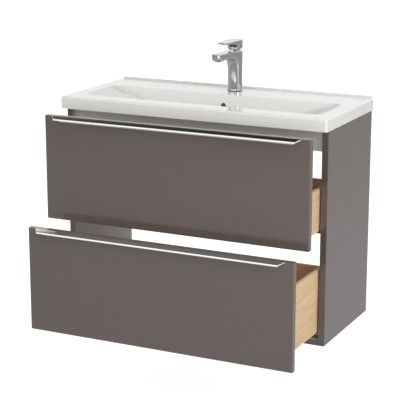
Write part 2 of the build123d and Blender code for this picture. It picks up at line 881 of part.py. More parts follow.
# Plug: crowned cap on a stem
with BuildPart() as waste_plug:
    with BuildSketch(Plane.XZ.offset(-waste_y)):
        with BuildLine():
            cap_low = waste_top + fit
            cap_rim = cap_low + plug_crown * plug_rim_share
            ThreePointArc(
                (0, cap_low + plug_crown),
                (plug_radius / 2, cap_low + plug_crown * plug_mid_share),
                (plug_radius, cap_rim),
            )
            Polyline(
                (plug_radius, cap_rim),
                (plug_radius, cap_low),
                (stem_radius, cap_low),
                (stem_radius, cap_low - stem_length),
                (0, cap_low - stem_length),
                (0, cap_low + plug_crown),
            )
        make_face()
    revolve(axis=Axis((0, waste_y, 0), (0, 0, 1)))
write(waste_plug.part, "waste_plug")

# Tap body: waisted square column with a spout that springs from its top
tap_y = -tap_from_wall
body_low = deck_top + tap_seal_height
body_top = deck_top + tap_body_height
spout_top = body_top + spout_rise
spout_mid_width = (tap_waist + spout_tip_width) / 2
with BuildPart() as tap_body:
    for height, width in (
        (body_low, tap_width),
        (deck_top + tap_body_height * tap_waist_place, tap_waist),
        (deck_top + tap_body_height * tap_shoulder_place, (tap_width + tap_waist) / 2),
        (body_top, tap_width),
    ):
        with BuildSketch(Plane.XY.offset(height)):
            with Locations((0, tap_y)):
                RectangleRounded(width, width, tap_corner)
    loft()
    for reach, width, low, high in (
        (tap_width / 8, tap_waist - spout_root_inset, body_top - spout_root_height, body_top),
        (tap_width, spout_mid_width, body_top - spout_root_height / 2, body_top + spout_rise / 3),
        (spout_reach, spout_tip_width, spout_top - spout_tip_height, spout_top),
    ):
        with BuildSketch(Plane.XZ.offset(reach - tap_y)):
            with Locations((0, (low + high) / 2)):
                RectangleRounded(width, high - low, spout_corner)
    loft()
    seat_low = body_top - cartridge_height
    cartridge_seat = (0, tap_y, (seat_low + spout_top) / 2)
    rod("Z", cartridge_seat, cartridge_radius + fit, spout_top - seat_low, Mode.SUBTRACT)
    aerator_y = tap_y - spout_reach + aerator_back
    aerator_top = spout_top - spout_tip_height / 2
    socket = (0, aerator_y, aerator_top - spout_tip_height)
    rod("Z", socket, aerator_radius + fit, 2 * spout_tip_height, Mode.SUBTRACT)
    for x in (-inlet_spread, inlet_spread):
        inlet = (x, tap_y - inlet_radius, body_low + inlet_depth / 2)
        rod("Z", inlet, inlet_radius, inlet_depth, Mode.SUBTRACT)
    stud_seat = (0, tap_y + stud_back, body_low + inlet_depth)
    rod("Z", stud_seat, stud_radius + fit, 2 * inlet_depth, Mode.SUBTRACT)
write(tap_body.part, "tap_body")

# Aerator: ring and strainer in the end of the spout
aerator_low = spout_top - spout_tip_height - aerator_drop
with BuildPart() as aerator:
    rod("Z", (0, aerator_y, (aerator_top + aerator_low) / 2), aerator_radius, aerator_top - aerator_low)
    rod("Z", (0, aerator_y, aerator_low), aerator_radius - aerator_wall, 2 * aerator_wall, Mode.SUBTRACT)
    with BuildSketch(Plane.XY.offset(aerator_low)):
        with Locations((0, aerator_y)):
            with PolarLocations((aerator_radius - aerator_wall) / 2, aerator_hole_count):
                Circle(aerator_hole_radius)
    extrude(amount=aerator_top - aerator_low - aerator_wall, mode=Mode.SUBTRACT)
write(aerator.part, "aerator")

# Rubber seal under the tap
with BuildPart() as tap_seal:
    with BuildSketch(Plane.XY.offset(deck_top)):
        with Locations((0, tap_y)):
            RectangleRounded(tap_width, tap_width, tap_corner)
            Circle(tap_hole_radius, mode=Mode.SUBTRACT)
    extrude(amount=tap_seal_height)
write(tap_seal.part, "tap_seal")

# Ceramic cartridge in the top of the body
spindle_low = body_top - 2 * spindle_radius
with BuildPart() as tap_cartridge:
    rod("Z", (0, tap_y, body_top - cartridge_height / 2), cartridge_radius, cartridge_height)
    rod("Z", (0, tap_y, body_top), spindle_radius + fit, 4 * spindle_radius + 2 * fit, Mode.SUBTRACT)
write(tap_cartridge.part, "tap_cartridge")

# Spindle with the cross pin that the lever rocks on
pivot_z = deck_top + pivot_height
with BuildPart() as tap_spindle:
    spindle_top = pivot_z + 2 * pivot_pin_radius
    rod("Z", (0, tap_y, (spindle_low + spindle_top) / 2), spindle_radius, spindle_top - spindle_low)
    rod("X", (0, tap_y, pivot_z), pivot_pin_radius, 6 * spindle_radius)
write(tap_spindle.part, "tap_spindle")

# Lever: block over the cartridge and a thin paddle towards the user
lever_low = body_top + lever_gap
lever_top = deck_top + tap_total_height
half_width = tap_width / 2
lever_half = lever_width / 2
blade_under = lever_low + 3 * lever_tip_height
rear_rise = lever_half * tan(radians(lever_lift + lever_lift_spare))
with BuildPart() as tap_lever:
    with BuildSketch(Plane.YZ):
        with BuildLine():
            Polyline(
                (tap_y - lever_reach, lever_top - lever_fall),
                (tap_y + lever_half, lever_top),
                (tap_y + lever_half, blade_under),
                (tap_y - half_width, blade_under),
                (tap_y - lever_reach, lever_top - lever_fall - lever_tip_height),
                close=True,
            )
        make_face()
    extrude(amount=lever_half, both=True)
    with BuildSketch(Plane.XY.offset(lever_low)):
        with Locations((0, tap_y)):
            Circle(lever_half)
        with Locations((0, tap_y - lever_reach / 2)):
            RectangleRounded(lever_width, lever_reach, lever_corner)
        with Locations((0, tap_y - lever_reach / 4)):
            Rectangle(lever_width, lever_reach / 2)
    extrude(amount=lever_top - lever_low, mode=Mode.INTERSECT)
    with BuildSketch(Plane.XY.offset(lever_low)):
        with Locations((0, tap_y)):
            RectangleRounded(tap_width, tap_width, tap_corner)
    extrude(amount=blade_under - lever_low)
    with BuildSketch(Plane.YZ):
        with BuildLine():
            Polyline(
                (tap_y, lever_low),
                (tap_y + lever_half, lever_low),
                (tap_y + lever_half, lever_low + rear_rise),
                close=True,
            )
        make_face()
    extrude(amount=lever_half, both=True, mode=Mode.SUBTRACT)
    slot_half = spindle_radius + 2 * fit
    block(
        (-slot_half, slot_half),
        (tap_y - 3 * slot_half, tap_y + 3 * slot_half),
        (lever_low, pivot_z + 4 * pivot_pin_radius),
        Mode.SUBTRACT,
    )
    rod("X", (0, tap_y, pivot_z), pivot_pin_radius + fit, 6 * spindle_radius + 2 * fit, Mode.SUBTRACT)
write(tap_lever.part, "tap_lever")

# Stud, horseshoe washer and nut that clamp the tap to the deck
stud_y = tap_y + stud_back
washer_top = deck_under
nut_low = washer_top - tap_washer_height - tap_nut_height
with BuildPart() as tap_stud:
    stud_high = body_low + 2 * inlet_depth - fit
    stud_low = nut_low - 4 * tap_nut_height
    rod("Z", (0, stud_y, (stud_high + stud_low) / 2), stud_radius, stud_high - stud_low)
write(tap_stud.part, "tap_stud")

with BuildPart() as tap_washer:
    with BuildSketch(Plane.XY.offset(washer_top - tap_washer_height)):
        with Locations((0, tap_y)):
            Circle(tap_washer_radius)
        with Locations((0, stud_y)):
            Circle(stud_radius + fit, mode=Mode.SUBTRACT)
        with Locations((0, tap_y - tap_washer_radius / 2)):
            Rectangle(tap_washer_gap, tap_washer_radius + 2 * stud_radius, mode=Mode.SUBTRACT)
    extrude(amount=tap_washer_height)
write(tap_washer.part, "tap_washer")

with BuildPart() as tap_nut:
    with BuildSketch(Plane.XY.offset(nut_low)):
        with Locations((0, stud_y)):
            RegularPolygon(2 * stud_radius, 6)
            Circle(stud_radius + fit, mode=Mode.SUBTRACT)
    extrude(amount=tap_nut_height)
write(tap_nut.part, "tap_nut")
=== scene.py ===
import math

import bmesh
import bpy
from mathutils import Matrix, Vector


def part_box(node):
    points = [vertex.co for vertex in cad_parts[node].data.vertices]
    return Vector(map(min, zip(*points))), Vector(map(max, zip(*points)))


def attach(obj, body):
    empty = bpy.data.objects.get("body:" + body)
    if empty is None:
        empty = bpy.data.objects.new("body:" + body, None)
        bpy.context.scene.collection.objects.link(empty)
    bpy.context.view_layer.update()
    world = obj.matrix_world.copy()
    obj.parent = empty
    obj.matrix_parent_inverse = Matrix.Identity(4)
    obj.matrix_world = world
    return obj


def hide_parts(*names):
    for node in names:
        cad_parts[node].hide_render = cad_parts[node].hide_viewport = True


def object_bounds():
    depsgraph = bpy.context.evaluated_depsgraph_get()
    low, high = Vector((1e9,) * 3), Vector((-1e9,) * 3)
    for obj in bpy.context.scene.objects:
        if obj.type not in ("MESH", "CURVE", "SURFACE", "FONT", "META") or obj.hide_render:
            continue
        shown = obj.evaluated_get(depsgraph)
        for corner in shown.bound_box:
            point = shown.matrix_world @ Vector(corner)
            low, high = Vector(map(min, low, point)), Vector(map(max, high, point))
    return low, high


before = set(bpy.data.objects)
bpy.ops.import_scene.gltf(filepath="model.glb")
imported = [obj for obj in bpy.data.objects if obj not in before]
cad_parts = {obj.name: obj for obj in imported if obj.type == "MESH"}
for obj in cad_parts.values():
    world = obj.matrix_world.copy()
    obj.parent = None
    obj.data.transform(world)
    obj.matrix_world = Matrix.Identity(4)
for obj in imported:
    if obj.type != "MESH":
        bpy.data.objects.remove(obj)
cad_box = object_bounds()
scene = bpy.context.scene
scene.view_settings.view_transform = "Standard"

# Carcass: two sides, a bottom and two back rails of fibreboard, drawn together by hidden cams.
# They are sprayed taupe and polished; the lacquer drifts in tone and keeps a faint orange peel.
# The inner faces of the sides and of the bottom show the board's own matt grey melamine.
lacquer_light = (0.113, 0.089, 0.082)
lacquer_dark = (0.103, 0.081, 0.074)
lacquer_roughness = 0.1
lacquer_coat = 0.5
melamine_light = (0.60, 0.59, 0.55)
melamine_dark = (0.56, 0.55, 0.51)
melamine_roughness = 0.5
melamine_scale = 55.0


def new_group(name, inputs, outputs):
    """A shader group with named sockets, and the nodes where values come in and go out."""
    group = bpy.data.node_groups.new(name, "ShaderNodeTree")
    for label, kind in inputs.items():
        group.interface.new_socket(label, in_out="INPUT", socket_type="NodeSocket" + kind)
    for label, kind in outputs.items():
        group.interface.new_socket(label, in_out="OUTPUT", socket_type="NodeSocket" + kind)
    return group, group.nodes.new("NodeGroupInput"), group.nodes.new("NodeGroupOutput")


def mix_colours(tree, factor, first, second):
    """A colour that goes from the first to the second as the factor rises."""
    mix = tree.nodes.new("ShaderNodeMix")
    mix.data_type = "RGBA"
    tree.links.new(factor, mix.inputs["Factor"])
    tree.links.new(first, mix.inputs["A"])
    tree.links.new(second, mix.inputs["B"])
    return mix.outputs["Result"]


clouds, entry, leaving = new_group(
    "cloudy_tone",
    {"Vector": "Vector", "Light": "Color", "Dark": "Color", "Scale": "Float"},
    {"Color": "Color", "Height": "Float"},
)
drift = clouds.nodes.new("ShaderNodeTexNoise")
drift.inputs["Detail"].default_value = 4.0
drift.inputs["Roughness"].default_value = 0.55
clouds.links.new(entry.outputs["Vector"], drift.inputs["Vector"])
clouds.links.new(entry.outputs["Scale"], drift.inputs["Scale"])
tone = mix_colours(clouds, drift.outputs["Fac"], entry.outputs["Light"], entry.outputs["Dark"])
clouds.links.new(tone, leaving.inputs["Color"])
clouds.links.new(drift.outputs["Fac"], leaving.inputs["Height"])

board_faces, entry, leaving = new_group(
    "board_faces",
    {"Normal": "Vector", "Inner Side": "Vector", "Lacquer": "Color", "Melamine": "Color"},
    {"Color": "Color", "Roughness": "Float", "Coat": "Float"},
)
facing = board_faces.nodes.new("ShaderNodeVectorMath")
facing.operation = "DOT_PRODUCT"
board_faces.links.new(entry.outputs["Normal"], facing.inputs[0])
board_faces.links.new(entry.outputs["Inner Side"], facing.inputs[1])
inner = board_faces.nodes.new("ShaderNodeMath")
inner.operation = "GREATER_THAN"
inner.inputs[1].default_value = 0.5
board_faces.links.new(facing.outputs["Value"], inner.inputs[0])
tone = mix_colours(board_faces, inner.outputs[0], entry.outputs["Lacquer"], entry.outputs["Melamine"])
board_faces.links.new(tone, leaving.inputs["Color"])
for label, outer_level, inner_level in (
    ("Roughness", lacquer_roughness, melamine_roughness),
    ("Coat", lacquer_coat, 0.0),
):
    level = board_faces.nodes.new("ShaderNodeMapRange")
    level.inputs["To Min"].default_value = outer_level
    level.inputs["To Max"].default_value = inner_level
    board_faces.links.new(inner.outputs[0], level.inputs["Value"])
    board_faces.links.new(level.outputs["Result"], leaving.inputs[label])


def new_finish(name, roughness, metallic=0.0):
    """A material with its shader, ready for colour and relief."""
    finish = bpy.data.materials.new(name)
    finish.use_nodes = True
    shader = finish.node_tree.nodes["Principled BSDF"]
    shader.inputs["Roughness"].default_value = roughness
    shader.inputs["Metallic"].default_value = metallic
    return finish, finish.node_tree, shader


def lay_pattern(tree, pattern, light, dark, label, value):
    """Place a pattern of two tones over the piece's own coordinates, with one value of its own."""
    node = tree.nodes.new("ShaderNodeGroup")
    node.node_tree = pattern
    node.inputs["Light"].default_value = (*light, 1)
    node.inputs["Dark"].default_value = (*dark, 1)
    node.inputs[label].default_value = value
    place = tree.nodes.new("ShaderNodeTexCoord")
    tree.links.new(place.outputs["Object"], node.inputs["Vector"])
    return node


def lift_surface(tree, shader, height, bump, depth):
    """Raise the surface where a pattern is high."""
    relief = tree.nodes.new("ShaderNodeBump")
    relief.inputs["Strength"].default_value = bump
    relief.inputs["Distance"].default_value = depth
    tree.links.new(height, relief.inputs["Height"])
    tree.links.new(relief.outputs["Normal"], shader.inputs["Normal"])


def cloud_over(tree, shader, light, dark, scale, bump=0.0, depth=0.0):
    """Let the colour drift between two tones, and the surface rise with the same clouds."""
    tone = lay_pattern(tree, clouds, light, dark, "Scale", scale)
    tree.links.new(tone.outputs["Color"], shader.inputs["Base Color"])
    if bump > 0:
        lift_surface(tree, shader, tone.outputs["Height"], bump, depth)
    return tone.outputs["Color"]


def coat_over(shader, weight):
    """A clear coat, almost a mirror."""
    shader.inputs["Coat Weight"].default_value = weight
    shader.inputs["Coat Roughness"].default_value = 0.05


def dress(finish, *names):
    """Give the named solids one finish."""
    for name in names:
        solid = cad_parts[name]
        solid.data.materials.clear()
        solid.data.materials.append(finish)


def lacquered_board(name, inner_side=None):
    """Gloss taupe lacquer; the face towards inner_side, if any, keeps the board's matt melamine."""
    finish, tree, shader = new_finish(name, roughness=lacquer_roughness)
    lacquer_tone = cloud_over(
        tree, shader, lacquer_light, lacquer_dark, scale=38.0, bump=0.01, depth=0.0004
    )
    coat_over(shader, lacquer_coat)
    if inner_side is None:
        return finish
    melamine_clouds = lay_pattern(
        tree, clouds, melamine_light, melamine_dark, "Scale", melamine_scale
    )
    faces = tree.nodes.new("ShaderNodeGroup")
    faces.node_tree = board_faces
    faces.inputs["Inner Side"].default_value = inner_side
    place = tree.nodes.new("ShaderNodeTexCoord")
    tree.links.new(place.outputs["Normal"], faces.inputs["Normal"])
    tree.links.new(lacquer_tone, faces.inputs["Lacquer"])
    tree.links.new(melamine_clouds.outputs["Color"], faces.inputs["Melamine"])
    tree.links.new(faces.outputs["Color"], shader.inputs["Base Color"])
    tree.links.new(faces.outputs["Roughness"], shader.inputs["Roughness"])
    tree.links.new(faces.outputs["Coat"], shader.inputs["Coat Weight"])
    return finish


dress(lacquered_board("left_side_board", (1, 0, 0)), "left_side_panel")
dress(lacquered_board("right_side_board", (-1, 0, 0)), "right_side_panel")
dress(lacquered_board("bottom_board", (0, 0, 1)), "bottom_panel")
dress(lacquered_board("taupe_lacquer"), "back_rail", "lower_back_rail")

# Front rail: a plain board faced with grey melamine, behind the top of the upper front.
# It ties the two sides together and carries the front of the basin; its face is left matt.
melamine, tree, shader = new_finish("grey_melamine", roughness=melamine_roughness)
cloud_over(tree, shader, melamine_light, melamine_dark, melamine_scale, bump=0.04, depth=0.0003)
dress(melamine, "front_rail")

# Cams and bolts: zinc-plated steel, pressed and turned, that pull the boards tight.
# The plating is slightly grained and a little yellow.
plated, tree, shader = new_finish("zinc_plate", roughness=0.32, metallic=0.95)
cloud_over(
    tree, shader, (0.62, 0.62, 0.60), (0.50, 0.50, 0.49), scale=160.0, bump=0.04, depth=0.0002
)
dress(plated, "cam_locks", "cam_bolts")

# Hangers: a moulded box in each back corner with a steel hook that bears on a wall plate.
# The boxes are white plastic with a fine spark-eroded texture; hooks and plates are zinc plated.
moulded, tree, shader = new_finish("moulded_plastic", roughness=0.5)
cloud_over(
    tree, shader, (0.76, 0.76, 0.74), (0.71, 0.71, 0.69), scale=400.0, bump=0.1, depth=0.0002
)
dress(moulded, "hanger_boxes")
dress(plated, "hanger_hooks", "wall_plates")

# Runners: three folded members on each side of each drawer, rolled from galvanised strip.
# The zinc shows its cloudy spangle; flat-headed screws hold the outer rails to the sides.
galvanised, tree, shader = new_finish("galvanised_strip", roughness=0.42, metallic=0.9)
cloud_over(
    tree, shader, (0.55, 0.55, 0.56), (0.40, 0.40, 0.41), scale=120.0, bump=0.05, depth=0.0003
)
for tier in ("upper", "lower"):
    for side in ("left", "right"):
        for member in ("rail", "middle", "slide"):
            dress(galvanised, f"{tier}_{side}_runner_{member}")
dress(plated, "runner_screws")

# Drawer boxes: light solid-wood boards, oiled, with their grain along each board.
# The sides and the trap walls run front to back; the backs and bases run from side to side.
# Soft early wood lies between darker late-wood lines, with short pores over both.
pale_light = (0.73, 0.523, 0.312)
pale_dark = (0.634, 0.432, 0.24)
warm_light = (0.78, 0.48, 0.27)
warm_dark = (0.67, 0.40, 0.21)
along_grain = 4.0
across_grain = 60.0
pore_weight = 0.35
grain, entry, leaving = new_group(
    "board_grain",
    {"Vector": "Vector", "Light": "Color", "Dark": "Color", "Stretch": "Vector"},
    {"Color": "Color", "Height": "Float"},
)
stretched = grain.nodes.new("ShaderNodeVectorMath")
stretched.operation = "MULTIPLY"
grain.links.new(entry.outputs["Vector"], stretched.inputs[0])
grain.links.new(entry.outputs["Stretch"], stretched.inputs[1])
rings = grain.nodes.new("ShaderNodeTexNoise")
rings.inputs["Scale"].default_value = 1.0
rings.inputs["Detail"].default_value = 5.0
rings.inputs["Distortion"].default_value = 0.6
grain.links.new(stretched.outputs[0], rings.inputs["Vector"])
pores = grain.nodes.new("ShaderNodeTexNoise")
pores.inputs["Scale"].default_value = 7.0
pores.inputs["Detail"].default_value = 3.0
grain.links.new(stretched.outputs[0], pores.inputs["Vector"])
late_wood = grain.nodes.new("ShaderNodeMapRange")
late_wood.inputs["From Min"].default_value = 0.38
late_wood.inputs["From Max"].default_value = 0.66
grain.links.new(rings.outputs["Fac"], late_wood.inputs["Value"])
figure = grain.nodes.new("ShaderNodeMath")
figure.operation = "MULTIPLY_ADD"
figure.inputs[1].default_value = pore_weight
grain.links.new(pores.outputs["Fac"], figure.inputs[0])
grain.links.new(late_wood.outputs["Result"], figure.inputs[2])
tone = mix_colours(grain, figure.outputs[0], entry.outputs["Light"], entry.outputs["Dark"])
grain.links.new(tone, leaving.inputs["Color"])
grain.links.new(figure.outputs[0], leaving.inputs["Height"])


def oiled_wood(name, stretch, light, dark):
    """Oiled wood whose fibres follow the board."""
    finish, tree, shader = new_finish(name, roughness=0.5)
    fibres = lay_pattern(tree, grain, light, dark, "Stretch", stretch)
    tree.links.new(fibres.outputs["Color"], shader.inputs["Base Color"])
    lift_surface(tree, shader, fibres.outputs["Height"], bump=0.12, depth=0.0008)
    return finish


depth_stretch = (across_grain, along_grain, across_grain)
width_stretch = (along_grain, across_grain, across_grain)
lengthways_wood = oiled_wood("oiled_wood_along_depth", depth_stretch, pale_light, pale_dark)
crossways_wood = oiled_wood("oiled_wood_along_width", width_stretch, warm_light, warm_dark)
dress(lengthways_wood, "upper_left_side", "upper_right_side", "lower_left_side", "lower_right_side")
dress(lengthways_wood, "upper_trap_left_wall", "upper_trap_right_wall")
dress(crossways_wood, "upper_left_back", "upper_right_back", "upper_trap_front_wall", "lower_back")
dress(crossways_wood, "upper_base", "lower_base")

# Drawer fronts: the same lacquered board as the carcass, with matt grey melamine behind.
# Bolts in their backs and cams in the drawer sides hold them; clear gel dots soften the close.
dress(lacquered_board("front_board", (0, 1, 0)), "upper_front", "lower_front")
dress(plated, "upper_front_fixings", "lower_front_fixings")
gel, tree, shader = new_finish("clear_gel", roughness=0.3)
cloud_over(
    tree, shader, (0.72, 0.73, 0.73), (0.66, 0.67, 0.67), scale=200.0, bump=0.05, depth=0.0002
)
dress(gel, "upper_bumpers", "lower_bumpers")

# Lip handles: metal strip folded to a lip, plated bright and screwed along the top of each front.
# The lip's ends are cut slanting, and the flange that carries the screws is shorter than the lip.
bright_strip, tree, shader = new_finish("bright_strip", roughness=0.12, metallic=1.0)
cloud_over(tree, shader, (0.72, 0.715, 0.70), (0.68, 0.675, 0.66), scale=30.0)
handle_wall = 0.002
web_fall = 0.0045
lip_lean = 0.0016
lip_height = 0.0045
end_inset = 0.0055
end_slant = 0.0135
flange_cut = 0.0245
fold_radius = 0.0006


def soften(shape, edges, width, segments):
    """Bevel the given edges."""
    bmesh.ops.bevel(
        shape, geom=edges, offset=width, offset_type="OFFSET", segments=segments, profile=0.5,
        affect="EDGES", material=-1,
    )


def draw_out(shape, faces):
    """Extrude faces in place, and give the corners of the new ones, ready to move."""
    grown = bmesh.ops.extrude_face_region(shape, geom=faces)
    return [part for part in grown["geom"] if isinstance(part, bmesh.types.BMVert)]


def show_piece(name, shape, finish, body):
    """Turn a finished shape into an object that rides on a body, smooth only round its small bevels."""
    bmesh.ops.recalc_face_normals(shape, faces=shape.faces)
    mesh = bpy.data.meshes.new(name)
    shape.to_mesh(mesh)
    shape.free()
    mesh.materials.append(finish)
    mesh.polygons.foreach_set("use_smooth", [True] * len(mesh.polygons))
    piece = bpy.data.objects.new(name, mesh)
    scene.collection.objects.link(piece)
    piece.modifiers.new("flat_faces", "WEIGHTED_NORMAL")
    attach(piece, body)
    return piece


for tier in ("upper", "lower"):
    low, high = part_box(f"{tier}_handle")
    shape = bmesh.new()
    lip_top = high.z - web_fall
    profile = (
        (high.y, high.z),
        (low.y + lip_lean, lip_top),
        (low.y, lip_top - lip_height),
        (low.y + handle_wall, lip_top - lip_height),
        (low.y + lip_lean + handle_wall, lip_top - handle_wall),
        (high.y - handle_wall, high.z - handle_wall),
        (high.y - handle_wall, low.z),
        (high.y, low.z),
    )
    corners = [shape.verts.new((low.x, y, z)) for y, z in profile]
    web_and_lip = corners[:6]
    flange = corners[:1] + corners[5:]
    shape.faces.new(web_and_lip)
    shape.faces.new(flange)
    far_end = draw_out(shape, shape.faces[:])
    bmesh.ops.translate(shape, verts=far_end, vec=(high.x - low.x, 0, 0))
    for corner in shape.verts:
        inset = end_inset + end_slant * (high.y - corner.co.y) / (high.y - low.y)
        if corner.co.z < low.z + handle_wall:
            inset += flange_cut
        corner.co.x -= math.copysign(inset, corner.co.x)
    soften(shape, shape.edges[:], fold_radius, segments=2)
    lip = show_piece(f"{tier}_lip", shape, bright_strip, f"{tier}_drawer")
    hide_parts(f"{tier}_handle")
dress(plated, "upper_handle_screws", "lower_handle_screws")

# Basin: one slip-cast and fired ceramic piece with a thick clear glaze, bedded on the carcass.
# The glaze pools softly, so its tone varies a very little.
glaze, tree, shader = new_finish("white_glaze", roughness=0.12)
cloud_over(tree, shader, (0.745, 0.74, 0.72), (0.725, 0.72, 0.70), scale=6.0)
coat_over(shader, 0.6)
dress(glaze, "basin")

# Waste: a plated body and a lift-out plug in the bowl, turned from bar and polished.
# A turned brass nut below the bowl draws the body down on a moulded rubber seal.
chrome, tree, shader = new_finish("polished_chrome", roughness=0.07, metallic=1.0)
cloud_over(tree, shader, (0.57, 0.57, 0.57), (0.53, 0.53, 0.53), scale=30.0)
rubber, tree, shader = new_finish("dark_rubber", roughness=0.7)
cloud_over(
    tree, shader, (0.085, 0.085, 0.085), (0.07, 0.07, 0.07), scale=220.0, bump=0.1, depth=0.0002
)
brass, tree, shader = new_finish("turned_brass", roughness=0.3, metallic=1.0)
cloud_over(
    tree, shader, (0.74, 0.54, 0.26), (0.62, 0.44, 0.20), scale=90.0, bump=0.04, depth=0.0002
)
dress(chrome, "waste_body", "waste_plug")
dress(rubber, "waste_seal")
dress(brass, "waste_nut")

# Tap casting: a plated brass body with a waist and a spout that swells out of its shoulder.
# The casting is smoothed before plating, so its edges are all soft; it stands on a rubber seal.
# Its cage reaches past the solid at the corners and the tip, because rounding draws it in.
tap_half = 0.0205
corner_cut = 0.0085
tip_corner_back = 0.004
axis_to_back = 0.020
shoulder_drop = 0.003
foot_edge = 0.0012
foot_row = 0.005
waist_row = 0.042
shoulder_row = 0.003
waist_depth = 0.06
waist_share = 0.75
spout_rise = 0.085
spout_half = 0.0155
spout_past_solid = 0.0035
spout_top_drop = 0.0005
spout_underside_drop = 0.0165
spout_belly = 0.005
belly_start = 0.5
belly_run = 0.25
arch_power = 4
forward_facing = -0.3
downward_facing = -0.9
tolerance = 0.001


def upright_column(low_z, high_z, rows, centre_y):
    """A square column with cut corners and rows of edges at the given heights."""
    shape = bmesh.new()
    bmesh.ops.create_cube(shape, size=1.0)
    bmesh.ops.scale(shape, verts=shape.verts, vec=(2 * tap_half, 2 * tap_half, high_z - low_z))
    bmesh.ops.translate(shape, verts=shape.verts, vec=(0, centre_y, (low_z + high_z) / 2))
    upright = [
        edge for edge in shape.edges
        if abs(edge.verts[0].co.z - edge.verts[1].co.z) > tolerance
    ]
    soften(shape, upright, corner_cut, segments=1)
    for row in rows:
        everything = shape.verts[:] + shape.edges[:] + shape.faces[:]
        bmesh.ops.bisect_plane(shape, geom=everything, plane_co=(0, 0, row), plane_no=(0, 0, 1))
    return shape


def pull_forward(shape, low_z, tip_y, tip_half, tip_low, tip_high, cuts):
    """Draw the front of a column out into a tongue, from low_z up, and divide the tongue's length."""
    shape.normal_update()
    front = [
        face for face in shape.faces
        if face.normal.y < forward_facing and face.calc_center_median().z > low_z
    ]
    root_low = min(corner.co.z for face in front for corner in face.verts)
    root_high = max(corner.co.z for face in front for corner in face.verts)
    root_half = max(corner.co.x for face in front for corner in face.verts)
    tip = draw_out(shape, front)
    bmesh.ops.delete(shape, geom=front, context="FACES")
    for corner in tip:
        part_way = (corner.co.z - root_low) / (root_high - root_low)
        corner.co.z = tip_low + part_way * (tip_high - tip_low)
        at_corner = abs(corner.co.x) > root_half - tolerance
        corner.co.x *= tip_half / root_half
        corner.co.y = tip_y + tip_corner_back * at_corner
    lengthways = [
        edge for edge in shape.edges
        if (edge.verts[0] in tip) != (edge.verts[1] in tip)
    ]
    bmesh.ops.subdivide_edges(shape, edges=lengthways, cuts=cuts, use_grid_fill=True)
    return root_low, root_high


def show_cast(name, shape, finish, body):
    """Turn a coarse cage into a soft cast piece that rides on a body."""
    cast = show_piece(name, shape, finish, body)
    cast.modifiers.clear()
    rounding = cast.modifiers.new("soft_form", "SUBSURF")
    rounding.levels = 3
    rounding.render_levels = 3
    return cast


low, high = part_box("tap_body")
axis_y = high.y - axis_to_back
foot = low.z
shoulder = high.z - shoulder_drop
spout_under = foot + spout_rise
rows = (foot + foot_edge, foot + foot_row, foot + waist_row, spout_under, shoulder - shoulder_row)
shape = upright_column(foot, shoulder, rows, axis_y)
for corner in shape.verts:
    height = (corner.co.z - foot) / (shoulder - foot)
    waist = 1.0 - waist_depth * math.sin(math.pi * min(1.0, height / waist_share)) ** 2
    corner.co.x *= waist
    corner.co.y = axis_y + (corner.co.y - axis_y) * waist
spout_start = axis_y - tap_half
spout_tip = low.y - spout_past_solid
tip_low = high.z - spout_underside_drop
tip_high = high.z - spout_top_drop
root_low, root_high = pull_forward(
    shape, spout_under, spout_tip, spout_half, tip_low, tip_high, cuts=5
)
for corner in shape.verts:
    along = (spout_start - corner.co.y) / (spout_start - spout_tip)
    if along < 0.05 or corner.co.z < spout_under - tolerance:
        continue
    straight_low = root_low + along * (tip_low - root_low)
    straight_high = root_high + along * (tip_high - root_high)
    arched_low = tip_low - (tip_low - root_low) * (1 - along) ** arch_power
    belly = spout_belly * min(1.0, max(0.0, (along - belly_start) / belly_run))
    part_way = (corner.co.z - straight_low) / (straight_high - straight_low)
    corner.co.z = arched_low - belly + part_way * (straight_high - arched_low + belly)
casting = show_cast("tap_casting", shape, chrome, "carcass")
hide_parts("tap_body")
dress(rubber, "tap_seal")

# Tap works: a ceramic cartridge in a plastic case inside the body, with a plated steel spindle.
# Below the basin a plated stud, a horseshoe washer and a brass nut clamp the body down.
dress(moulded, "tap_cartridge")
dress(plated, "tap_spindle", "tap_stud", "tap_washer")
dress(brass, "tap_nut")

# Tap lever: a plated zinc casting, a round-backed block with a thin tongue towards the user.
# It is hollow underneath, where it rocks on the spindle's pin, and cut away behind for the lift.
lever_foot_edge = 0.001
lever_top_row = 0.0015
lever_wall = 0.0045
hollow_depth = 0.016
tongue_rise = 0.0135
tongue_half = 0.0175
tongue_past_solid = 0.005
tongue_top_drop = 0.0011
tongue_underside_drop = 0.0056
cutaway_top_drop = 0.004
cutaway_slope = math.tan(math.radians(12))
low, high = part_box("tap_lever")
tongue_under = low.z + tongue_rise
rows = (low.z + lever_foot_edge, tongue_under, high.z - lever_top_row)
shape = upright_column(low.z, high.z, rows, axis_y)
underside = [face for face in shape.faces if face.normal.z < downward_facing]
bmesh.ops.inset_individual(shape, faces=underside, thickness=lever_wall, use_even_offset=True)
hollow_top = draw_out(shape, underside)
bmesh.ops.delete(shape, geom=underside, context="FACES")
bmesh.ops.translate(shape, verts=hollow_top, vec=(0, 0, hollow_depth))
pull_forward(
    shape, tongue_under, low.y - tongue_past_solid, tongue_half, high.z - tongue_underside_drop,
    high.z - tongue_top_drop, cuts=3,
)
for corner in shape.verts:
    if corner.co.z < tongue_under - cutaway_top_drop and corner.co.y > axis_y:
        corner.co.z += (corner.co.y - axis_y) * cutaway_slope
lever = show_cast("tap_tongue", shape, chrome, "tap_lever")
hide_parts("tap_lever")

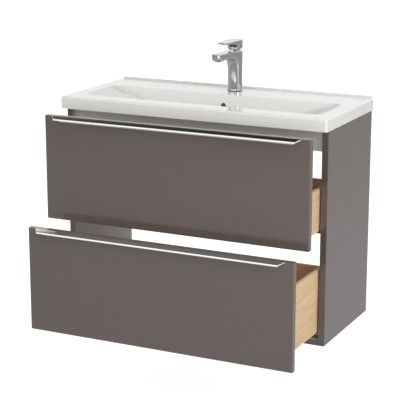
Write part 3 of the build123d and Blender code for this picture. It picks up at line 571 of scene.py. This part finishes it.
# Aerator: a turned and plated ring in the end of the spout round a plastic strainer.
# Its lower rim is rounded over, and the strainer sits a little way up inside it.
ring_wall = 0.003
bore_edge = 0.0006
rim_curve = ((0.0022, 0.0), (0.0012, 0.0002), (0.0003, 0.0012))
rim_height = 0.003
ring_top_drop = 0.001
sieve_bar = 0.0003
sieve_thickness = 0.002
low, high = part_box("aerator")
nose_y = (low.y + high.y) / 2
nose_radius = (high.x - low.x) / 2
bore_radius = nose_radius - ring_wall
strainer_z = low.z + rim_height
ring_top = high.z - ring_top_drop
ring = bmesh.new()
profile = (
    (bore_radius, strainer_z),
    (bore_radius, low.z + bore_edge),
    *((nose_radius - inwards, low.z + upwards) for inwards, upwards in rim_curve),
    (nose_radius, low.z + rim_height),
    (nose_radius, ring_top),
    (bore_radius, ring_top),
)
corners = [ring.verts.new((across, nose_y, z)) for across, z in profile]
loop = [ring.edges.new((a, b)) for a, b in zip(corners, corners[1:] + corners[:1])]
bmesh.ops.spin(
    ring, geom=corners + loop, cent=(0, nose_y, 0), axis=(0, 0, 1), angle=2 * math.pi, steps=32,
    use_merge=True,
)
bmesh.ops.remove_doubles(ring, verts=ring.verts, dist=0.00001)
nose = show_piece("aerator_ring", ring, chrome, "carcass")
sieve = bmesh.new()
bmesh.ops.create_grid(sieve, x_segments=10, y_segments=10, size=bore_radius)
for corner in sieve.verts:
    reach = max(abs(corner.co.x), abs(corner.co.y))
    length = math.hypot(corner.co.x, corner.co.y)
    if length > 0:
        corner.co *= reach / length
cells = bmesh.ops.inset_individual(sieve, faces=sieve.faces[:], thickness=sieve_bar)
holes = [face for face in sieve.faces if face not in cells["faces"]]
bmesh.ops.delete(sieve, geom=holes, context="FACES_ONLY")
bmesh.ops.solidify(sieve, geom=sieve.faces[:], thickness=sieve_thickness)
bmesh.ops.translate(sieve, verts=sieve.verts, vec=(0, nose_y, strainer_z))
show_piece("aerator_strainer", sieve, moulded, "carcass")
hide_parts("aerator")

# Studio floor: a plain sheet of paper below the hanging cabinet, which keeps its shadow.
# It is white to the camera, softly so in reflections, and lit like paper for everything else.
floor_drop = 0.22
floor_half = 30.0
seen_glow = 0.8
mirrored_glow = 0.1


def seen_straight(tree):
    """The kinds of ray, and a mask of those from the camera, also through clear things."""
    rays = tree.nodes.new("ShaderNodeLightPath")
    straight = tree.nodes.new("ShaderNodeMath")
    straight.operation = "MAXIMUM"
    tree.links.new(rays.outputs["Is Camera Ray"], straight.inputs[0])
    tree.links.new(rays.outputs["Is Transmission Ray"], straight.inputs[1])
    return rays, straight.outputs[0]


shape = bmesh.new()
bmesh.ops.create_grid(shape, x_segments=1, y_segments=1, size=floor_half)
bmesh.ops.translate(shape, verts=shape.verts, vec=(0, 0, cad_box[0].z - floor_drop))
floor_mesh = bpy.data.meshes.new("studio_floor")
shape.to_mesh(floor_mesh)
shape.free()
floor = bpy.data.objects.new("studio_floor", floor_mesh)
scene.collection.objects.link(floor)
paper, tree, shader = new_finish("floor_paper", roughness=0.9)
cloud_over(tree, shader, (0.52, 0.52, 0.52), (0.50, 0.50, 0.50), scale=3.0)
rays, straight = seen_straight(tree)
mirrored = tree.nodes.new("ShaderNodeMath")
mirrored.operation = "MULTIPLY"
mirrored.inputs[1].default_value = mirrored_glow
tree.links.new(rays.outputs["Is Glossy Ray"], mirrored.inputs[0])
glow = tree.nodes.new("ShaderNodeMath")
glow.operation = "MULTIPLY_ADD"
glow.inputs[1].default_value = seen_glow
tree.links.new(straight, glow.inputs[0])
tree.links.new(mirrored.outputs[0], glow.inputs[2])
shader.inputs["Emission Color"].default_value = (1, 1, 1, 1)
tree.links.new(glow.outputs[0], shader.inputs["Emission Strength"])
floor_mesh.materials.append(paper)

# Studio room: a white backdrop that also shows in the metal, dark above and behind the camera.
# For the light it gives, the room is brighter overhead than at the horizon.
world = bpy.data.worlds.new("studio_room")
scene.world = world
world.use_nodes = True
tree = world.node_tree
tree.nodes.clear()


def room_tone(source, *stops):
    """Grey levels along one direction of the room, as (place, level) stops."""
    ramp = tree.nodes.new("ShaderNodeValToRGB")
    elements = ramp.color_ramp.elements
    while len(elements) < len(stops):
        elements.new(0.5)
    for element, (place, level) in zip(elements, stops):
        element.position = place
        element.color = (level, level, level, 1)
    tree.links.new(source, ramp.inputs["Fac"])
    return ramp.outputs["Color"]


direction = tree.nodes.new("ShaderNodeTexCoord")
compass = tree.nodes.new("ShaderNodeSeparateXYZ")
tree.links.new(direction.outputs["Generated"], compass.inputs[0])
towards_wall = tree.nodes.new("ShaderNodeMapRange")
towards_wall.inputs["From Min"].default_value = -1.0
towards_wall.inputs["From Max"].default_value = 1.0
tree.links.new(compass.outputs["Y"], towards_wall.inputs["Value"])
backdrop_tone = room_tone(towards_wall.outputs["Result"], (0.2, 0.3), (0.45, 1.0))
ceiling_tone = room_tone(compass.outputs["Z"], (0.40, 1.0), (0.56, 0.02))
fill_tone = room_tone(compass.outputs["Z"], (0.0, 0.52), (0.9, 0.66))
mirrored_tone = tree.nodes.new("ShaderNodeMix")
mirrored_tone.data_type = "RGBA"
mirrored_tone.blend_type = "MULTIPLY"
mirrored_tone.inputs["Factor"].default_value = 1.0
tree.links.new(backdrop_tone, mirrored_tone.inputs["A"])
tree.links.new(ceiling_tone, mirrored_tone.inputs["B"])
fill = tree.nodes.new("ShaderNodeBackground")
tree.links.new(fill_tone, fill.inputs["Color"])
mirrored = tree.nodes.new("ShaderNodeBackground")
tree.links.new(mirrored_tone.outputs["Result"], mirrored.inputs["Color"])
backdrop = tree.nodes.new("ShaderNodeBackground")
backdrop.inputs["Color"].default_value = (1, 1, 1, 1)
rays, straight = seen_straight(tree)
fill_or_mirrored = tree.nodes.new("ShaderNodeMixShader")
tree.links.new(rays.outputs["Is Glossy Ray"], fill_or_mirrored.inputs["Fac"])
tree.links.new(fill.outputs[0], fill_or_mirrored.inputs[1])
tree.links.new(mirrored.outputs[0], fill_or_mirrored.inputs[2])
all_rays = tree.nodes.new("ShaderNodeMixShader")
tree.links.new(straight, all_rays.inputs["Fac"])
tree.links.new(fill_or_mirrored.outputs[0], all_rays.inputs[1])
tree.links.new(backdrop.outputs[0], all_rays.inputs[2])
output = tree.nodes.new("ShaderNodeOutputWorld")
tree.links.new(all_rays.outputs[0], output.inputs["Surface"])

# Studio lamps: soft boxes at plain strength, a key in front on the left and one on the right.
# A low box in front fills the undersides and the fronts, and a weak one behind shows the back.
middle = (cad_box[0] + cad_box[1]) / 2


def soft_box(name, place, size, power):
    """A square soft box that looks at the middle of the cabinet."""
    lamp = bpy.data.lights.new(name, "AREA")
    lamp.size = size
    lamp.energy = power
    holder = bpy.data.objects.new(name, lamp)
    scene.collection.objects.link(holder)
    holder.location = place
    holder.rotation_euler = (middle - holder.location).to_track_quat("-Z", "Y").to_euler()
    holder.visible_camera = False


soft_box("key_box", place=(-1.4, -3.7, 1.75), size=2.6, power=25)
soft_box("side_box", place=(3.2, -1.4, 1.6), size=2.0, power=82)
soft_box("low_box", place=(0.5, -3.5, -0.35), size=1.8, power=32)
soft_box("rear_box", place=(-3.2, 1.5, 1.6), size=1.6, power=14)

# Camera: the photograph's viewing angle, from the fit of its straight edges.
# Its long lens keeps the upright edges all but parallel, and it has no shift and no blur.
photo_width = 400
focal_pixels = 1401.12
sensor_width = 36.0
camera_place = (1.68187, -3.72907, 0.76721)
downward_tilt = math.radians(14.1506)
turn_left = math.radians(26.0746)
lens = bpy.data.cameras.new("photo_camera")
lens.sensor_width = sensor_width
lens.lens = focal_pixels / photo_width * sensor_width
camera = bpy.data.objects.new("photo_camera", lens)
scene.collection.objects.link(camera)
camera.location = camera_place
camera.rotation_euler = (math.pi / 2 - downward_tilt, 0, turn_left)
scene.camera = camera
